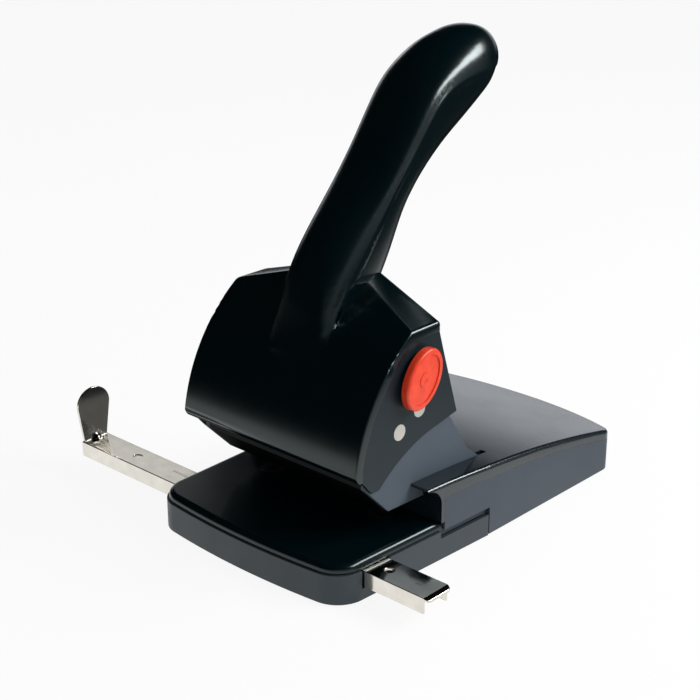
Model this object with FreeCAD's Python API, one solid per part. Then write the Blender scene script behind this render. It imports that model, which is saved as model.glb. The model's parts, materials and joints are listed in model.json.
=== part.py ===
"""Heavy-duty two-hole paper punch with a long upright lever.

Frame: X to the right, Y to the back, Z up, in millimetres.  X = 0 is the middle
plane between the two punches, Z = 0 the desk that the punch stands on.
Bodies: the base; the lever, hinged on the front pin; the punch bar, pushed down by
the lever's rear pin; the lock button; the paper rail; the chip tray.
"""
import FreeCAD
import Part
import math
import os

V = FreeCAD.Vector

# ---- general ---------------------------------------------------------------------------------
SEAT_GAP = 0.3            # air between a part and what it sits on or slides past
RUN_FIT = 0.05            # radial clearance of a pin that turns or slides in a bore
FIXED_FIT = 0.02          # radial clearance of a pin that is pressed or riveted
FAR = 300.0               # longer than the punch: reach of cuts that go right through

# ---- base: plan view -------------------------------------------------------------------------
FRONT_HALF = 68.6         # half width behind the front corners
SIDE_FLARE = 3.8          # how much further out the rear housing's sides stand
FRONT_Y = -23.6           # foremost point of the bowed front
FRONT_BOW = 5.0           # how far that bow falls back by the sides
FRONT_CORNER_R = 17.0
FLARE_END_Y = 92.0        # the sides widen up to here
REAR_Y = 222.0            # rearmost point of the bowed rear
REAR_BOW = 17.2
REAR_CORNER_R = 9.0

# ---- base: heights ---------------------------------------------------------------------------
HOUSING_BOTTOM = 1.5
WALL = 3.0
FLOOR = 3.0
PLATFORM_TOP = 17.4       # top of the raised floor under table and brackets
PLATFORM_DEPTH = 4.0
PLATFORM_REAR_Y = 112.0
TABLE_TOP = 22.0
TABLE_EDGE_R = 3.4
TABLE_INSET = 1.2         # how far the table's edge stands inside the tray's
TABLE_TUCK = 2.4          # how far the table reaches under the rear cover

# ---- chip tray -------------------------------------------------------------------------------
TRAY_BOTTOM = 1.0
TRAY_WALL = 2.2
TRAY_FLOOR = 2.0
TRAY_REAR_Y = 91.4
RAIL_NOTCH_GAP = 0.8      # air between the rail and the notches it passes

# ---- rear cover ------------------------------------------------------------------------------
PAPER_STOP_Y = 53.5       # wall that stops the paper's edge
COVE_R = 10.0             # hollow above that wall
LIP_T = 1.6               # height of the lip over the hollow
COVER_SKIN = 2.6
COVER_EDGE_R = 2.4
DECK_FRONT_Z = 44.2       # deck height at its front lip
DECK_MID_Y = 130.0
DECK_MID_Z = 38.2
DECK_REAR_Z = 20.5
SEAM_FRONT_Z = 35.6       # seam between cover and housing
SEAM_MID_Z = 31.6
SEAM_REAR_Z = 15.5

# ---- punching --------------------------------------------------------------------------------
HOLE_PITCH = 80.0         # standard distance of the two holes
EDGE_TO_HOLE = 12.0       # standard distance of a hole from the paper's edge
PUNCH_D = 6.0
SLOT_HEIGHT = 10.0        # paper opening over the table
PUNCH_HOLLOW = 0.6        # depth ground out of the punch's tip
PUNCH_RECESS = 0.3        # how far the raised punch hides in its guide
DIE_D = 14.0
DIE_DEPTH = 9.0
CHIP_HOLE_D = 8.0
DIE_LAND = 4.4            # depth of the cutting bore before the relief

# ---- brackets and guide block ----------------------------------------------------------------
BRACKET_INSET = 10.4      # from the table's side to each bracket's outer face
BRACKET_T = 3.0
FOOT_TIP = (26.4, 34.8)   # front lower corner, over the table
NOSE = (9.1, 52.2)        # foremost corner, under the lever's head
NOSE_TOP = (9.7, 58.0)
LOBE_R = 21.5             # round top over the pivot
LOBE_ANGLES = (185.0, 125.0, 62.0)   # its start, middle and end about the pivot, degrees
SHOULDER = (50.0, 97.5)
BRACKET_BACK = (63.0, 95.0)
BRACKET_WAIST = (74.0, 71.5)
BRACKET_HEEL = (89.0, 48.8)
BRACKET_TOE = (105.0, 36.0)
PLATE_SILL_Z = 33.8       # lower edge of the plate where it crosses the paper stop
FLANGE_W = 16.0           # foot bent inwards on the platform
FLANGE_T = 3.0
FLANGE_SCREWS = (10.0, 8.0)   # screws from the front and rear ends of the bent foot
GUIDE_TOP = 50.0
GUIDE_REAR_Y = 52.0
GUIDE_NOSE_Y = 20.0       # rear of the guide's raised front ledge
GUIDE_SLOPE = 5.0         # length of the slope behind that ledge
GUIDE_LEDGE_DROP = 2.0    # from the bracket's nose to the ledge
LEAD_IN_Y = 34.0          # the opening narrows from the foot tip to here
SPRING_SEAT_DEPTH = 5.0

# ---- lever -----------------------------------------------------------------------------------
PIVOT = (31.0, 77.6)      # hinge pin, (Y, Z)
DRIVE = (46.0, 85.6)      # pin that pushes the punch bar
LEVER_ANGLE = 43.0        # degrees from rest to the end of the stroke
PIN_D = 8.5
LEVER_PLATE_T = 2.5
PLATE_AIR = 0.5           # between each lever plate and its bracket
SLOT_CLEAR = 0.4          # round the drive pin in the brackets
TIE = (46.0, 118.5)
TIE_D = 8.0
TIE_FLAT = 1.0            # depth of the screw's seat in the tie rod
BOSS_D = 10.0
SHELL_SCREW_X = 30.0
SHELL_SCREW_REACH = 8.0   # tip of a shell screw above the tie rod's middle

# ---- lever head ------------------------------------------------------------------------------
SHELL_T = 2.6
RIM_W = 2.4               # rim of the shell that laps over the plate's edge
RIM_T = 0.9
PLATE_FIT = 0.1           # air round the lever plates inside the shell
CHIN = (0.8, 60.2)
CHIN_MIDDLE = (-1.3, 62.8)
CHIN_FRONT = (-2.0, 66.5)
FACE_BULGE = (12.4, 102.4)
BROW = (38.5, 128.8)
HEAD_REAR_Y = 60.5
HEAD_CENTRE_REAR_Y = 72.4
ROOF_EAVE_Z = 128.6
ROOF_RIDGE_Z = 145.4
BROW_SLOPE = 0.75         # front edge of the roof, rise over run in side view
SHELL_REAR_LIP_Z = 112.0
SHELL_REAR_OPEN_Y = 41.0  # behind this the shell is open below its rear lip
ROOF_R = 2.6              # rounding of the roof's edges
FACE_SIDE_R = 1.0         # and of the arched face's sides

# ---- lever plates ----------------------------------------------------------------------------
PLATE_CHIN = (1.2, 62.2)
PLATE_TIP = (13.3, 48.4)
PLATE_ARC_MID = (35.3, 64.3)
PLATE_ARC_END = (60.7, 72.3)
PLATE_REAR_LOW = (75.7, 75.2)
PLATE_REAR_MID = (68.8, 96.5)
PLATE_REAR_TOP = (60.2, 124.0)
PLATE_TOP_BACK_Y = 54.0   # the plate's top corner under the roof

# ---- handle ----------------------------------------------------------------------------------
# Stations from the root inside the head to the tip: front (Y, Z), back (Y, Z), half width,
# and where the parting line lies between front (0) and back (1).
HANDLE_STATIONS = (
    ((13.2, 107.3), (39.3, 88.5), 19.0, 0.20),
    ((18.7, 120.3), (46.4, 98.7), 20.0, 0.24),
    ((22.9, 135.3), (58.4, 112.5), 19.5, 0.30),
    ((30.5, 153.5), (70.6, 126.2), 19.8, 0.37),
    ((46.5, 172.3), (83.3, 148.3), 20.2, 0.38),
    ((64.1, 188.7), (92.0, 167.7), 20.5, 0.33),
    ((78.9, 207.2), (105.2, 183.9), 20.9, 0.35),
    ((93.0, 227.0), (121.8, 196.6), 21.6, 0.34),
    ((105.3, 240.2), (134.6, 204.9), 22.3, 0.36),
    ((119.8, 249.8), (145.3, 213.0), 22.4, 0.47),
    ((135.2, 255.4), (154.4, 221.6), 20.9, 0.61),
)
HANDLE_STEPS = 2          # sections from one station to the next
HANDLE_POINTS = 28        # points round a section
FRONT_SQUARENESS = 2.3    # 2 is an ellipse; more is a rounder rectangle
BACK_SQUARENESS = 2.6
BACK_TAPER = 0.28         # share of its width that the back loses
TIP_REACH = 24.8
TIP_SQUARENESS = 2.1
TIP_START = 0.42          # share of a full dome that the last station already stands for
TIP_STEPS = 8
TIP_LAST_ANGLE = 87.0     # degrees, where the rounded tip ends in a tiny flat
PARTING_STEP = 0.7        # the back shell stands this far inside the front shell

# ---- punch bar -------------------------------------------------------------------------------
BAR_T = 10.0
BAR_FRONT_Y = 36.4
BAR_REAR_Y = 53.0
BAR_AIR = 0.8             # between the bar's ends and the brackets
EAR_W = 8.0
EAR_WALL = 4.0
PUNCH_HEAD_D = 10.0
PUNCH_HEAD_T = 2.5
SPRING_WIRE = 1.6
SPRING_D = 12.0           # mean diameter
SPRING_ROOM = 2.0         # how much wider its seat is
SPRING_TURNS = 6

# ---- lock button -----------------------------------------------------------------------------
BUTTON = (42.4, 104.0)
BUTTON_LONG = 32.8        # an oval that leans back along the head's arched edge
BUTTON_SHORT = 23.6
BUTTON_LEAN = 33.0        # degrees from upright
BUTTON_T = 4.4
BUTTON_EDGE_R = 1.5
BUTTON_DISH_INSET = 3.0   # rim round the sunk face
BUTTON_DISH_DEPTH = 0.6
BUTTON_HUB_D = 7.5        # low round boss in the middle of the face
BUTTON_HUB_T = 0.35
BUTTON_DIMPLE_D = 3.4
BUTTON_DIMPLE_DEPTH = 0.5
BUTTON_TRAVEL = 2.4
BUTTON_FACE_SKIN = 1.4    # left in front of the stem's blind bore
STEM_GAP = 0.1            # between the stem's end and the bore's end
LOCK_STEM_D = 6.5
LOCK_HEAD_D = 9.0
LOCK_HEAD_T = 1.1
LOCK_POCKET_T = 1.5
BUTTON_CUP_D = 18.0
BUTTON_CUP_DEPTH = 2.0
BUTTON_STEM_WALL = 1.5    # wall of the hub round the stem
BUTTON_SPRING_D = 12.0
BUTTON_SPRING_WIRE = 1.0
BUTTON_SPRING_GAP = 0.1
BUTTON_SPRING_TURNS = 1.5

# ---- paper rail ------------------------------------------------------------------------------
RAIL_FRONT_Y = -3.3
RAIL_W = 18.3
RAIL_H = 9.0
RAIL_T = 1.5
RAIL_LEFT_X = -153.5
RAIL_RIGHT_X = 107.0
RAIL_LIP = (2.8, 1.1)     # bent tip at the right end: length and drop
LEAF_WAIST_HALF = 8.0     # stop leaf: half width at its bend
LEAF_HALF = 11.5          # and where it is widest
LEAF_WIDE_Z = 38.0
LEAF_TOP_Z = 49.0
LEAF_SHOULDER = (8.9, 45.0)   # half width and height where the top turns in
LEAF_CROWN = (3.6, 48.4)      # and where it is nearly flat
RIB_R = 3.4               # pressed rib in the leaf's bend
RIB_SINK = 0.6
RAIL_HOLE_D = 5.0
RAIL_HOLES_X = (-114.0, 77.6)

# ---- small parts -----------------------------------------------------------------------------
FOOT_D = 16.0
FOOT_SINK = 0.6
REAR_FOOT_INSET = (16.0, 13.8)   # from the housing's side and from its rear corner
PAD_HALF = 46.0           # half length of the front pad without its round ends
PAD_W = 12.0
SCREW_D = 4.0
SCREW_HEAD_D = 7.5
SCREW_HEAD_T = 2.4

# ---- worked out from the above ---------------------------------------------------------------
BASE_HALF = FRONT_HALF + SIDE_FLARE
BRACKET_OUT = FRONT_HALF - BRACKET_INSET
LEVER_PLATE_OUT = BRACKET_OUT + PLATE_AIR + LEVER_PLATE_T
HEAD_HALF = LEVER_PLATE_OUT + PLATE_FIT + RIM_T
PUNCH_Y = PAPER_STOP_Y - EDGE_TO_HOLE
GUIDE_BOTTOM = TABLE_TOP + SLOT_HEIGHT
BRACKET_IN = BRACKET_OUT - BRACKET_T
LEVER_PLATE_IN = LEVER_PLATE_OUT - LEVER_PLATE_T
BAR_HALF = BRACKET_IN - BAR_AIR
BUTTON_BACK = LEVER_PLATE_OUT + BUTTON_TRAVEL + SEAT_GAP / 2
BUTTON_FRONT = BUTTON_BACK + BUTTON_T
CRANK_R = math.hypot(DRIVE[0] - PIVOT[0], DRIVE[1] - PIVOT[1])
CRANK_ANGLE = math.degrees(math.atan2(DRIVE[1] - PIVOT[1], DRIVE[0] - PIVOT[0]))
STROKE = CRANK_R * (math.sin(math.radians(CRANK_ANGLE)) - math.sin(math.radians(CRANK_ANGLE - LEVER_ANGLE)))
RAIL_TOP = PLATFORM_TOP - SEAT_GAP
RAIL_BOTTOM = RAIL_TOP - RAIL_H
RAIL_REAR_Y = RAIL_FRONT_Y + RAIL_W
RAIL_MID_Y = RAIL_FRONT_Y + RAIL_W / 2
BAR_TOP = DRIVE[1] - PIN_D / 2 - 2 * SLOT_CLEAR
BAR_BOTTOM = BAR_TOP - BAR_T
SPRING_FOOT = GUIDE_TOP - SPRING_SEAT_DEPTH
STOP_REAR = PAPER_STOP_Y + COVER_SKIN
PLATFORM_BOTTOM = PLATFORM_TOP - PLATFORM_DEPTH


# ---- helpers ---------------------------------------------------------------------------------
def on_side(y, z):
    return V(0, y, z)


def on_plan(x, y):
    return V(x, y, 0)


def on_front(x, z):
    return V(x, 0, z)


def outline(place, start, steps):
    """A closed face: each step is an end point, or a point on an arc and its end."""
    edges = []
    here = start
    for step in steps:
        if isinstance(step[0], tuple):
            through, end = step
            edges.append(Part.Arc(place(*here), place(*through), place(*end)).toShape())
        else:
            end = step
            edges.append(Part.makeLine(place(*here), place(*end)))
        here = end
    return Part.Face(Part.Wire(edges))


def across(face, x0, x1):
    """A side-view face made solid from x0 to x1."""
    solid = face.extrude(V(x1 - x0, 0, 0))
    solid.translate(V(x0, 0, 0))
    return solid


def upright(face, z0, z1):
    """A plan-view face made solid from z0 to z1."""
    solid = face.extrude(V(0, 0, z1 - z0))
    solid.translate(V(0, 0, z0))
    return solid


def box(x0, x1, y0, y1, z0, z1):
    return Part.makeBox(x1 - x0, y1 - y0, z1 - z0, V(x0, y0, z0))


def rod_x(diameter, centre, x0, x1):
    return Part.makeCylinder(diameter / 2, x1 - x0, V(x0, centre[0], centre[1]), V(1, 0, 0))


def rod_z(diameter, x, y, z0, z1):
    return Part.makeCylinder(diameter / 2, z1 - z0, V(x, y, z0), V(0, 0, 1))


def mirrored(solid):
    return solid.mirror(V(0, 0, 0), V(1, 0, 0))


def joined(solids):
    return solids[0].multiFuse(solids[1:]).removeSplitter()


def slab(y0, y1, z0, z1):
    """A box across the whole width and more."""
    return box(-FAR, FAR, y0, y1, z0, z1)


def hole_x(diameter, centre):
    """A bore that goes right through the punch's right half."""
    return rod_x(diameter, centre, 0, FAR)


def hole_z(diameter, x, y):
    return rod_z(diameter, x, y, 0, FAR)


def through(points):
    """A smooth curve that meets its points at the parameters 0, 1, 2 and so on."""
    curve = Part.BSplineCurve()
    curve.interpolate(Points=points, Parameters=[float(i) for i in range(len(points))])
    return curve


def edges_where(solid, test):
    return [edge for edge in solid.Edges if test(edge.BoundBox)]


def about_pivot(radius, angle):
    a = math.radians(angle)
    return (PIVOT[0] + radius * math.cos(a), PIVOT[1] + radius * math.sin(a))


# ---- base ------------------------------------------------------------------------------------
def bowed_end(end_y, out, bow, half, corner_r):
    """Right-hand corner of a bowed end, tangent to it: its start at the side, middle and end."""
    bow_r = (half ** 2 + bow ** 2) / (2 * bow)
    across_x = half - corner_r
    along_y = math.sqrt((bow_r - corner_r) ** 2 - across_x ** 2)
    centre_y = end_y + out * (along_y - bow_r)
    turn = math.atan2(along_y, across_x)
    return [(across_x + corner_r * math.cos(a), centre_y + out * corner_r * math.sin(a))
            for a in (0, turn / 2, turn)]


def plan_outline():
    """The whole base seen from above, with a bowed front and a bowed rear."""
    front = bowed_end(FRONT_Y, -1, FRONT_BOW, FRONT_HALF, FRONT_CORNER_R)
    rear = bowed_end(REAR_Y, 1, REAR_BOW, BASE_HALF, REAR_CORNER_R)
    left_front, left_rear = [[(-x, y) for x, y in corner] for corner in (front, rear)]
    return outline(on_plan, front[2], [
        (front[1], front[0]),
        (BASE_HALF, FLARE_END_Y),
        rear[0],
        (rear[1], rear[2]),
        ((0, REAR_Y), left_rear[2]),
        (left_rear[1], left_rear[0]),
        (-BASE_HALF, FLARE_END_Y),
        left_front[0],
        (left_front[1], left_front[2]),
        ((0, FRONT_Y), front[2]),
    ])


def inset_plan(distance):
    return plan_outline().makeOffset2D(-distance)


def beyond_rear(front_z, rear_z):
    """Height of the line from the middle of the deck to its rear, taken past the rear."""
    return rear_z + (rear_z - front_z) / (REAR_Y - DECK_MID_Y) * REAR_CORNER_R


def side_band(front_z, mid_z, rear_z, floor_z, front_y):
    """Side view of everything under one long curve from the front to the rear."""
    far_y = REAR_Y + REAR_CORNER_R
    return outline(on_side, (front_y, floor_z), [
        (front_y, front_z),
        ((DECK_MID_Y, mid_z), (far_y, beyond_rear(mid_z, rear_z))),
        (far_y, floor_z),
        (front_y, floor_z),
    ])


def base_body():
    under_seam = side_band(SEAM_FRONT_Z, SEAM_MID_Z, SEAM_REAR_Z, HOUSING_BOTTOM, STOP_REAR)
    housing = upright(plan_outline(), HOUSING_BOTTOM, DECK_FRONT_Z).common(across(under_seam, -FAR, FAR))
    room = upright(inset_plan(WALL), HOUSING_BOTTOM + FLOOR, FAR)
    rear_room = room.common(slab(PLATFORM_REAR_Y, REAR_Y, 0, FAR))
    front_room = room.common(slab(STOP_REAR + WALL, PLATFORM_REAR_Y + WALL, PLATFORM_TOP, FAR))
    housing = housing.cut(rear_room).cut(front_room)
    housing = housing.cut(slab(FRONT_Y, FLARE_END_Y, 0, PLATFORM_TOP))
    hidden = inset_plan(TRAY_WALL + SEAT_GAP)
    platform = upright(hidden, PLATFORM_BOTTOM, PLATFORM_TOP)
    platform = platform.common(slab(FRONT_Y, FLARE_END_Y + WALL, 0, FAR))
    beam = upright(hidden, RAIL_BOTTOM - SEAT_GAP - WALL, PLATFORM_TOP)
    beam = beam.common(slab(RAIL_FRONT_Y - WALL, RAIL_REAR_Y + WALL, 0, FAR))
    body = joined([housing, platform, beam])
    body = body.cut(slab(RAIL_FRONT_Y - SEAT_GAP, RAIL_REAR_Y + SEAT_GAP, RAIL_BOTTOM - SEAT_GAP, FAR))
    for side in (-1, 1):
        body = body.cut(hole_z(DIE_D + 2 * FIXED_FIT, side * HOLE_PITCH / 2, PUNCH_Y))
        x0, x1 = sorted((side * (BRACKET_IN - SEAT_GAP), side * (BRACKET_OUT + SEAT_GAP)))
        body = body.cut(box(x0, x1, PAPER_STOP_Y, BRACKET_TOE[0], PLATE_SILL_Z - SEAT_GAP, FAR))
    for x, y in bracket_screw_places():
        body = body.cut(rod_z(SCREW_D, x, y, PLATFORM_BOTTOM - WALL, PLATFORM_TOP + WALL))
    for x, y in rear_foot_places():
        body = body.cut(rod_z(FOOT_D, x, y, 0, HOUSING_BOTTOM + FOOT_SINK))
    return body


def table_plate():
    plate = upright(inset_plan(TABLE_INSET), PLATFORM_TOP, TABLE_TOP)
    plate = plate.common(slab(FRONT_Y, PAPER_STOP_Y + TABLE_TUCK, 0, FAR))
    rim = edges_where(plate, lambda b: b.ZMin > TABLE_TOP - SEAT_GAP and b.YMin < PAPER_STOP_Y)
    plate = plate.makeFillet(TABLE_EDGE_R, rim)
    for side in (-1, 1):
        plate = plate.cut(hole_z(DIE_D + 2 * FIXED_FIT, side * HOLE_PITCH / 2, PUNCH_Y))
    return plate


def rear_cover():
    lip_y = PAPER_STOP_Y - COVE_R
    cove_top = DECK_FRONT_Z - LIP_T
    cove_foot = cove_top - COVE_R
    cove_mid = COVE_R * math.sqrt(0.5)
    far_y = REAR_Y + REAR_CORNER_R
    deck_end = beyond_rear(DECK_MID_Z, DECK_REAR_Z)
    side = outline(on_side, (lip_y, DECK_FRONT_Z), [
        ((DECK_MID_Y, DECK_MID_Z), (far_y, deck_end)),
        (far_y, beyond_rear(SEAM_MID_Z, SEAM_REAR_Z)),
        ((DECK_MID_Y, SEAM_MID_Z), (STOP_REAR, SEAM_FRONT_Z)),
        (STOP_REAR, TABLE_TOP),
        (PAPER_STOP_Y, TABLE_TOP),
        (PAPER_STOP_Y, cove_foot),
        ((lip_y + cove_mid, cove_foot + cove_mid), (lip_y, cove_top)),
        (lip_y, DECK_FRONT_Z),
    ])
    cover = across(side, -FAR, FAR).common(upright(plan_outline(), 0, FAR))
    inner_side = outline(on_side, (STOP_REAR, 0), [
        (STOP_REAR, DECK_FRONT_Z - COVER_SKIN - SEAT_GAP),
        ((DECK_MID_Y, DECK_MID_Z - COVER_SKIN), (far_y, deck_end - COVER_SKIN)),
        (far_y, 0),
        (STOP_REAR, 0),
    ])
    inside = across(inner_side, -FAR, FAR).common(upright(inset_plan(WALL), 0, FAR))
    deck = max(cover.Faces, key=lambda face: face.CenterOfMass.z * (face.BoundBox.YLength > REAR_Y / 2))
    rim = [edge for edge in deck.Edges if edge.BoundBox.YMax > lip_y + LIP_T]
    cover = cover.makeFillet(COVER_EDGE_R, rim).cut(inside)
    for sign in (-1, 1):
        x0, x1 = sorted((sign * (BRACKET_IN - SEAT_GAP), sign * (BRACKET_OUT + SEAT_GAP)))
        cover = cover.cut(box(x0, x1, lip_y - WALL, BRACKET_TOE[0] + SEAT_GAP, GUIDE_BOTTOM, FAR))
    return cover.cut(box(-BRACKET_IN, BRACKET_IN, lip_y - WALL, STOP_REAR + WALL, GUIDE_BOTTOM, FAR))


def bracket_profile():
    """Outline of a bracket plate: nose under the head, round top, foot in the housing."""
    behind_stop = STOP_REAR + WALL + SEAT_GAP
    start, middle, end = [about_pivot(LOBE_R, angle) for angle in LOBE_ANGLES]
    return outline(on_side, FOOT_TIP, [
        NOSE,
        NOSE_TOP,
        start,
        (middle, end),
        SHOULDER,
        BRACKET_BACK,
        BRACKET_WAIST,
        BRACKET_HEEL,
        BRACKET_TOE,
        (BRACKET_TOE[0], PLATFORM_TOP),
        (behind_stop, PLATFORM_TOP),
        (behind_stop, PLATE_SILL_Z),
        FOOT_TIP,
    ])


def arc_slot(radius, angle0, angle1, width):
    """Slot for a pin that swings about the pivot."""
    half = width / 2
    mid = (angle0 + angle1) / 2
    inner, outer = radius - half, radius + half
    face = outline(on_side, about_pivot(inner, angle0), [
        (about_pivot(inner, mid), about_pivot(inner, angle1)),
        about_pivot(outer, angle1),
        (about_pivot(outer, mid), about_pivot(outer, angle0)),
        about_pivot(inner, angle0),
    ])
    ends = [rod_x(width, about_pivot(radius, angle), -FAR, FAR) for angle in (angle0, angle1)]
    return joined([across(face, -FAR, FAR)] + ends)


def lock_hole_centre():
    """Where the lock pin stands when the lever is down."""
    reach = math.hypot(BUTTON[0] - PIVOT[0], BUTTON[1] - PIVOT[1])
    angle = math.degrees(math.atan2(BUTTON[1] - PIVOT[1], BUTTON[0] - PIVOT[0]))
    return about_pivot(reach, angle - LEVER_ANGLE)


def bracket_screw_places():
    x = BRACKET_IN - FLANGE_W / 2
    front = STOP_REAR + WALL + FLANGE_SCREWS[0]
    rear = BRACKET_TOE[0] - FLANGE_SCREWS[1]
    return [(side * x, y) for side in (-1, 1) for y in (front, rear)]


def bracket():
    """Right-hand bracket plate with its bent foot."""
    plate = across(bracket_profile(), BRACKET_IN, BRACKET_OUT)
    start = STOP_REAR + WALL + SEAT_GAP
    flange = box(BRACKET_IN - FLANGE_W, BRACKET_OUT, start, BRACKET_TOE[0],
                 PLATFORM_TOP, PLATFORM_TOP + FLANGE_T)
    solid = joined([plate, flange])
    solid = solid.cut(hole_x(PIN_D + 2 * RUN_FIT, PIVOT))
    low = CRANK_ANGLE - LEVER_ANGLE
    solid = solid.cut(arc_slot(CRANK_R, low, CRANK_ANGLE, PIN_D + 2 * SLOT_CLEAR))
    solid = solid.cut(hole_x(LOCK_HEAD_D + 2 * SLOT_CLEAR, lock_hole_centre()))
    for x, y in bracket_screw_places():
        solid = solid.cut(hole_z(SCREW_D, x, y))
    return solid


def guide_block():
    """Black block between the brackets that guides the punches over the paper."""
    ledge_z = NOSE_TOP[1] - GUIDE_LEDGE_DROP
    profile = outline(on_side, FOOT_TIP, [
        NOSE,
        (NOSE[0], ledge_z),
        (GUIDE_NOSE_Y, ledge_z),
        (GUIDE_NOSE_Y + GUIDE_SLOPE, GUIDE_TOP),
        (GUIDE_REAR_Y, GUIDE_TOP),
        (GUIDE_REAR_Y, GUIDE_BOTTOM),
        (LEAD_IN_Y, GUIDE_BOTTOM),
        FOOT_TIP,
    ])
    block = across(profile, -BRACKET_IN, BRACKET_IN)
    for side in (-1, 1):
        x = side * HOLE_PITCH / 2
        block = block.cut(hole_z(PUNCH_D + 2 * RUN_FIT, x, PUNCH_Y))
        block = block.cut(rod_z(SPRING_D + SPRING_WIRE + SPRING_ROOM, x, PUNCH_Y, SPRING_FOOT, FAR))
    return block


def die(side):
    """Hardened die bush, flush with the table."""
    x = side * HOLE_PITCH / 2
    bush = rod_z(DIE_D, x, PUNCH_Y, TABLE_TOP - DIE_DEPTH, TABLE_TOP)
    bore = hole_z(PUNCH_D + 2 * RUN_FIT, x, PUNCH_Y)
    relief = rod_z(CHIP_HOLE_D, x, PUNCH_Y, 0, TABLE_TOP - DIE_LAND)
    return bush.cut(bore).cut(relief)


def chip_tray():
    pan = upright(plan_outline(), TRAY_BOTTOM, PLATFORM_TOP - SEAT_GAP)
    pan = pan.common(slab(FRONT_Y, TRAY_REAR_Y, 0, FAR))
    room = upright(inset_plan(TRAY_WALL), TRAY_BOTTOM + TRAY_FLOOR, FAR)
    pan = pan.cut(room.common(slab(FRONT_Y, TRAY_REAR_Y - TRAY_WALL, 0, FAR)))
    gap = RAIL_NOTCH_GAP
    pan = pan.cut(slab(RAIL_FRONT_Y - gap, RAIL_REAR_Y + gap, RAIL_BOTTOM - gap, FAR))
    pan = pan.cut(slab(PAPER_STOP_Y, TRAY_REAR_Y + WALL, PLATFORM_BOTTOM - SEAT_GAP, FAR))
    return pan.cut(front_pad())


def front_pad():
    """Rubber strip under the tray, with round ends."""
    half_w = PAD_W / 2
    strip = box(-PAD_HALF, PAD_HALF, -half_w, half_w, 0, TRAY_BOTTOM + FOOT_SINK)
    ends = [rod_z(PAD_W, side * PAD_HALF, 0, 0, TRAY_BOTTOM + FOOT_SINK) for side in (-1, 1)]
    return joined([strip] + ends)


def rear_foot_places():
    inset_x, inset_y = REAR_FOOT_INSET
    return [(side * (BASE_HALF - inset_x), REAR_Y - REAR_BOW - inset_y) for side in (-1, 1)]


def foot(x, y, seat_z):
    return rod_z(FOOT_D, x, y, 0, seat_z + FOOT_SINK)


def screw(x, y, seat_z, tip_z):
    """Pan-head screw whose head sits on seat_z; tip_z may lie below or above it."""
    up = 1 if seat_z > tip_z else -1
    head_z = sorted((seat_z, seat_z + up * SCREW_HEAD_T))
    shank_z = sorted((seat_z, tip_z))
    head = rod_z(SCREW_HEAD_D, x, y, *head_z)
    shank = rod_z(SCREW_D - 2 * FIXED_FIT, x, y, *shank_z)
    return joined([head, shank])


def bracket_screws():
    seat = PLATFORM_TOP + FLANGE_T
    return Part.Compound([screw(x, y, seat, PLATFORM_BOTTOM) for x, y in bracket_screw_places()])


# ---- lever -----------------------------------------------------------------------------------
def head_side(open_below):
    """Side view of the lever's head: arched face, brow, and room for the roof."""
    top = ROOF_RIDGE_Z + SHELL_T
    far_y = HEAD_CENTRE_REAR_Y + FAR
    above = (BROW[0] + (top - BROW[1]) / BROW_SLOPE, top)
    if open_below:
        floor = PLATE_TIP[1]
        start = (CHIN_FRONT[0], floor)
        steps = [CHIN_FRONT]
    else:
        floor = CHIN[1]
        start = CHIN
        steps = [(CHIN_MIDDLE, CHIN_FRONT)]
    steps += [(FACE_BULGE, BROW), above, (far_y, top), (far_y, floor), start]
    return outline(on_side, start, steps)


def head_block(half, inset, open_below):
    """The head's outer form, or the room inside it at a given wall."""
    side = head_side(open_below)
    slope = (ROOF_RIDGE_Z - ROOF_EAVE_Z) / HEAD_HALF
    lower = inset * math.hypot(1, slope)
    eave = ROOF_EAVE_Z + (HEAD_HALF - half) * slope - lower
    front = outline(on_front, (-half, 0), [
        (-half, eave), (0, ROOF_RIDGE_Z - lower), (half, eave), (half, 0), (-half, 0)])
    rear_y = HEAD_REAR_Y - inset
    plan = outline(on_plan, (-half, -FAR), [
        (half, -FAR), (half, rear_y), (0, HEAD_CENTRE_REAR_Y - inset), (-half, rear_y), (-half, -FAR)])
    if inset:
        side = side.makeOffset2D(-inset)
    block = across(side, -half, half)
    block = block.common(front.extrude(V(0, 2 * FAR, 0)).translated(V(0, -FAR, 0)))
    return block.common(upright(plan, 0, FAR))


def head_skin():
    """The head's outer form with its moulded roundings."""
    block = head_block(HEAD_HALF, 0, False)
    roof = edges_where(block, lambda b: b.YMin > BROW[0] - SHELL_T and b.ZMax > ROOF_EAVE_Z - SHELL_T
                       and b.XLength <= HEAD_HALF + SEAT_GAP)
    block = block.makeFillet(ROOF_R, roof)
    sides = edges_where(block, lambda b: b.YMin < FACE_BULGE[0] and b.XLength < SEAT_GAP
                        and b.ZLength > CHIN_FRONT[1] - CHIN[1])
    return block.makeFillet(FACE_SIDE_R, sides)


def handle_section(front, back, half, parting):
    """Rounded section through the handle, widest at the parting line, narrower at the back."""
    middle = front + (back - front) * parting
    points = []
    for step in range(HANDLE_POINTS):
        angle = 2 * math.pi * step / HANDLE_POINTS
        c, s = math.cos(angle), math.sin(angle)
        if s > 0:
            power, target = 2 / BACK_SQUARENESS, back
        else:
            power, target = 2 / FRONT_SQUARENESS, front
        away = abs(s) ** power
        taper = 1 - BACK_TAPER * away ** 2 if s > 0 else 1
        x = half * taper * math.copysign(abs(c) ** power, c)
        points.append(middle + (target - middle) * away + V(x, 0, 0))
    curve = Part.BSplineCurve()
    even = [float(i) for i in range(HANDLE_POINTS + 1)]
    curve.interpolate(Points=points, Parameters=even, PeriodicFlag=True)
    return Part.Wire([curve.toShape()])


def handle_lines():
    """Smooth lines through the stations: front, back, and half width with parting."""
    fronts = through([on_side(*station[0]) for station in HANDLE_STATIONS])
    backs = through([on_side(*station[1]) for station in HANDLE_STATIONS])
    forms = through([V(station[2], station[3], 0) for station in HANDLE_STATIONS])
    return fronts, backs, forms


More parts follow.
